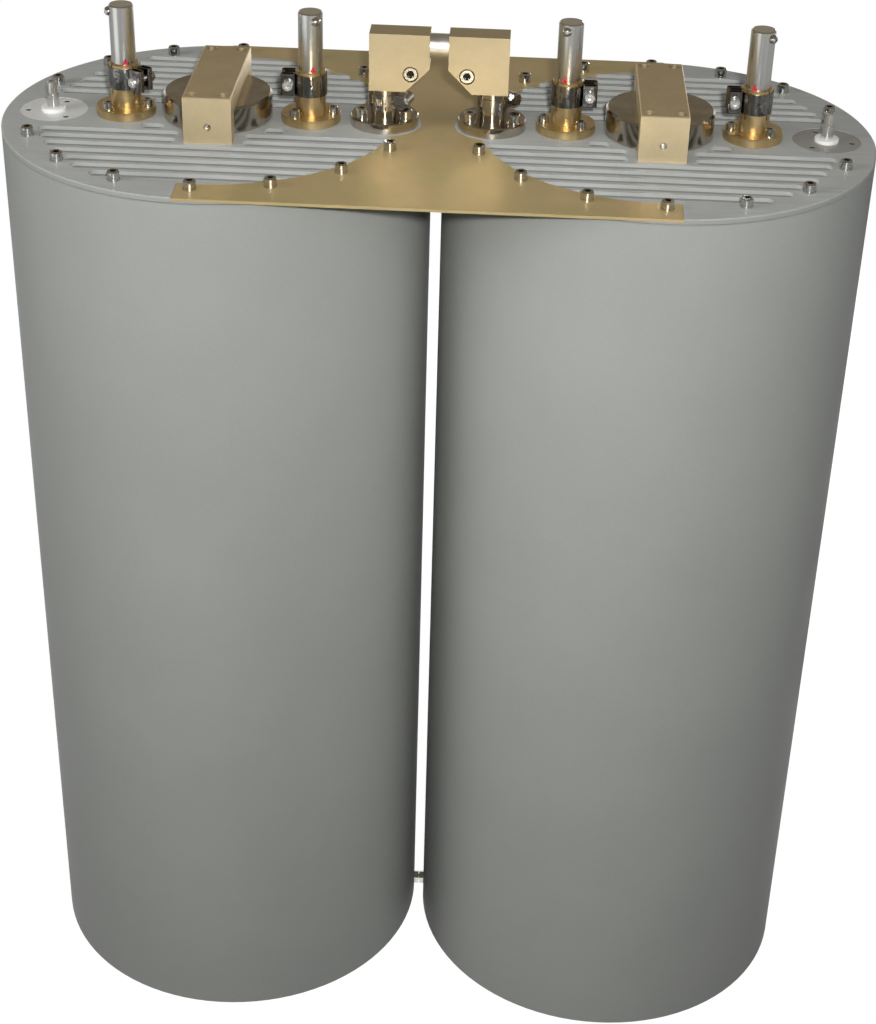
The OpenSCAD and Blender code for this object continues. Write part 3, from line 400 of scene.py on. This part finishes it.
# which finish each kind of node takes, by the end of its name; the first that fits is taken
finishOf = [("cavity_tube", "tubeEnamel"), ("top_cover", "coverEnamel"), ("bottom_plate", "tubeEnamel"),
            ("bridge_plate", "plateChromate"), ("bridge_bar", "barChromate"),
            ("elbow_block", "elbowChromateShaded"), ("head_disc", "discNickel"), ("link_flange", "linkNickel"),
            ("link_riser", "linkNickel"), ("hose_clamp", "bandSteel"), ("worm_screws", "bandSteel"),
            ("collar", "collarBrass"), ("clamp", "clampChrome"), ("clamp_screws", "clampSteelLit"),
            ("resonator", "copper"), ("resonator_tip", "copper"), ("rod", "rodMetal"),
            ("port_conductor", "pinSilver"), ("link_tube", "linkSilver"), ("link_conductor", "linkSilver"),
            ("port_insulator", "insulator"), ("link_beads", "insulator"), ("elbow_screws", "elbowSteel"),
            ("rim_screws", "rimSteel"), ("", "screwSteel")]

for name, item in nodes.items():
    finish = next(kind for end, kind in finishOf if name.endswith(end))
    for slot in item.material_slots:
        slot.material = finishes[finish]
print("finishes on", len(nodes), "nodes")


def gridPiece(name, points, material):
    # four-sided faces between neighbours of a grid of points, rows by columns
    rows, columns = points.shape[:2]
    first = np.arange(rows * columns).reshape(rows, columns)[:-1, :-1].ravel()
    faces = np.stack([first, first + columns, first + columns + 1, first + 1], 1)
    mesh = bpy.data.meshes.new(name)
    mesh.from_pydata(points.reshape(-1, 3).tolist(), [], faces.tolist())
    mesh.materials.append(material)
    piece = bpy.data.objects.new(name, mesh)
    scene.collection.objects.link(piece)
    return piece


# red setting marks on the rods, just over the collars' tops: one triangle each, wrapped round the rod;
# facing is the angle about the rod's axis, in degrees from X
redMarks = {"tone": (0.50, 0.012, 0.035), "worn": (0.62, 0.10, 0.12), "contrast": (0.45, 0.7), "wear": 900.0,
            "rough": (0.35, 0.55), "width": 0.0044, "height": 0.0048, "taper": 0.96, "rise": 0.0002,
            "radius": 0.0085, "thick": 0.00002, "steps": 9,
            "facing": {"left_outer": 288, "left_inner": 287, "right_inner": 252, "right_outer": 250}}


def makeMarkPaint(look):
    material, place, shader = newMaterial("markPaint", Metallic=0.0)
    wear = place.noise(look["wear"])
    join(shader, {"Base Color": wear.spread(look["contrast"]).blend(look["tone"], look["worn"]),
                  "Roughness": wear.spread(noiseRange, look["rough"])})
    return material


def addMark(look, rod, facing, material):
    # across and up are parameters from -1/2 to 1/2 and 0 to 1: the angle is the facing plus across times the
    # width left at that height over the radius, and the width falls in a line to nearly nothing at the tip
    along = np.linspace(0, 1, look["steps"])
    across, up = np.meshgrid(along - 0.5, along, indexing="ij")
    angle = np.radians(facing) + across * look["width"] * (1 - look["taper"] * up) / look["radius"]
    reach = look["radius"] + look["thick"] / 4
    points = np.stack([middleOf(rod + "_rod").x + reach * np.cos(angle), reach * np.sin(angle),
                       collarTop + look["rise"] + up * look["height"]], -1)
    mark = gridPiece(rod + "_mark", points, material)
    thicken = mark.modifiers.new("thick", "SOLIDIFY")
    thicken.thickness, thicken.offset = look["thick"], 1.0
    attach(mark, rod + "_tuner")


markPaint = makeMarkPaint(redMarks)
for rod, facing in redMarks["facing"].items():
    addMark(redMarks, rod, facing, markPaint)
print("red marks on", len(redMarks["facing"]), "rods")

# studio: a pale floor, a world that is white to the eye, and a small flash-like key beside the camera;
# the bands are heights of a ray's direction, and the card is a direction from the object
studio = {"floorSize": 2.6, "floorDrop": 0.0003, "floorSteps": 9, "floorTone": (0.10, 0.10, 0.10),
          "floorRough": 0.9, "floorGlow": 0.97, "white": (1, 1, 1), "ambient": 0.04,
          "below": 0.30, "belowBand": (-0.30, -0.05), "horizon": 1.0,
          "zenith": 0.18, "ceiling": (1.0, 0.84, 0.60), "ceilingBand": (0.02, 0.30),
          "card": (-0.72, -0.61, -0.33), "cardEdge": (0.86, 0.98), "cardTone": 0.95}


def seenRay(start):
    # one for rays from the eye, off metal and through glass, nought for the rest; and the eye's rays alone
    eye, glossy, through = [start.node("ShaderNodeLightPath", out="Is " + kind + " Ray")
                            for kind in ("Camera", "Glossy", "Transmission")]
    return (eye + glossy + through).sums("MINIMUM", 1.0), eye


def makeFloor(room):
    # flat grid of two parameters, each from minus to plus half the floor's size
    half = np.linspace(-0.5, 0.5, room["floorSteps"]) * room["floorSize"]
    u, v = np.meshgrid(half, half, indexing="ij")
    matt = {"Base Color": colour(room["floorTone"]), "Metallic": 0.0, "Roughness": room["floorRough"]}
    material, place, shader = newMaterial("floor", **matt)
    seen = seenRay(place)[0]
    glow = seen.node("ShaderNodeEmission", links={"Color": colour(room["white"]),
                                                  "Strength": seen * room["floorGlow"]})
    both = glow.node("ShaderNodeAddShader", links={0: Wire(place.tree, shader.outputs[0]), 1: glow})
    place.tree.links.new(place.tree.nodes["Material Output"].inputs["Surface"], both.socket)
    floor = gridPiece("floor", np.stack([u, v, np.full_like(u, -room["floorDrop"])], -1), material)


def makeWorld(room):
    # white to the eye; metal sees it white at the horizon, dim and warm overhead and dim below,
    # with a pale card low at the front left; matt surfaces get a little of it
    world = bpy.data.worlds.new("studio")
    world.use_nodes = True
    scene.world = world
    place = Wire(world.node_tree).node("ShaderNodeTexCoord", out="Generated")
    across, away, height = place.parts()
    upper = height.spread(room["ceilingBand"], (room["horizon"], room["zenith"]))
    lower = height.spread(room["belowBand"], (room["below"], room["horizon"]))
    card = mixed((across, away, height), room["card"]).spread(room["cardEdge"], (0.0, room["cardTone"]))
    tone = upper.sums("MINIMUM", lower).sums("MAXIMUM", card)
    seen, eye = seenRay(place)
    mirrored = seen - eye
    warm = (mirrored * height.spread(room["ceilingBand"])).blend(room["white"], room["ceiling"])
    join(world.node_tree.nodes["Background"],
         {"Color": warm, "Strength": eye + mirrored * tone + (1 - seen) * room["ambient"]})


# lamps: discs in metres and watts, spread in degrees; mirrored says whether polished metal shows the lamp
lamps = {"key": {"place": (0.12, -1.40, 1.31), "aim": (0, 0, 0.55), "size": 0.07, "spread": 110,
                 "power": 6.3, "mirrored": True},
         "fill": {"place": (1.5, -1.2, 1.4), "aim": (0, 0, 0.50), "size": 1.0, "spread": 180,
                  "power": 5.8, "mirrored": False},
         "side": {"place": (-1.4, -0.75, 1.3), "aim": (0, 0, 0.60), "size": 0.8, "spread": 180,
                  "power": 11.8, "mirrored": False},
         "top": {"place": (0, -0.3, 2.3), "aim": (0, 0, 0.70), "size": 0.9, "spread": 180,
                 "power": 4.2, "mirrored": False},
         "rear": {"place": (0.5, 2.1, 0.42), "aim": (0, 0, 0.36), "size": 0.5, "spread": 180,
                  "power": 16, "mirrored": True}}
lampTop = (0.0, 1.0, 0.02)  # no lamp's axis lies along it


def addLamp(name, lamp):
    light = bpy.data.lights.new(name, "AREA")
    light.shape = "DISK"
    light.size, light.energy, light.spread = lamp["size"], lamp["power"], np.radians(lamp["spread"])
    item = bpy.data.objects.new(name, light)
    item.visible_glossy = lamp["mirrored"]
    back = np.array(lamp["place"], float) - np.array(lamp["aim"], float)
    back = back / np.linalg.norm(back)
    side = np.cross(lampTop, back)
    side = side / np.linalg.norm(side)
    turn = Matrix(np.column_stack([side, np.cross(back, side), back]).tolist()).to_4x4()
    item.matrix_world = Matrix.Translation(lamp["place"]) @ turn
    scene.collection.objects.link(item)


makeFloor(studio)
makeWorld(studio)
for name, lamp in lamps.items():
    addLamp(name, lamp)
print("studio ready:", len(lamps), "lamps")
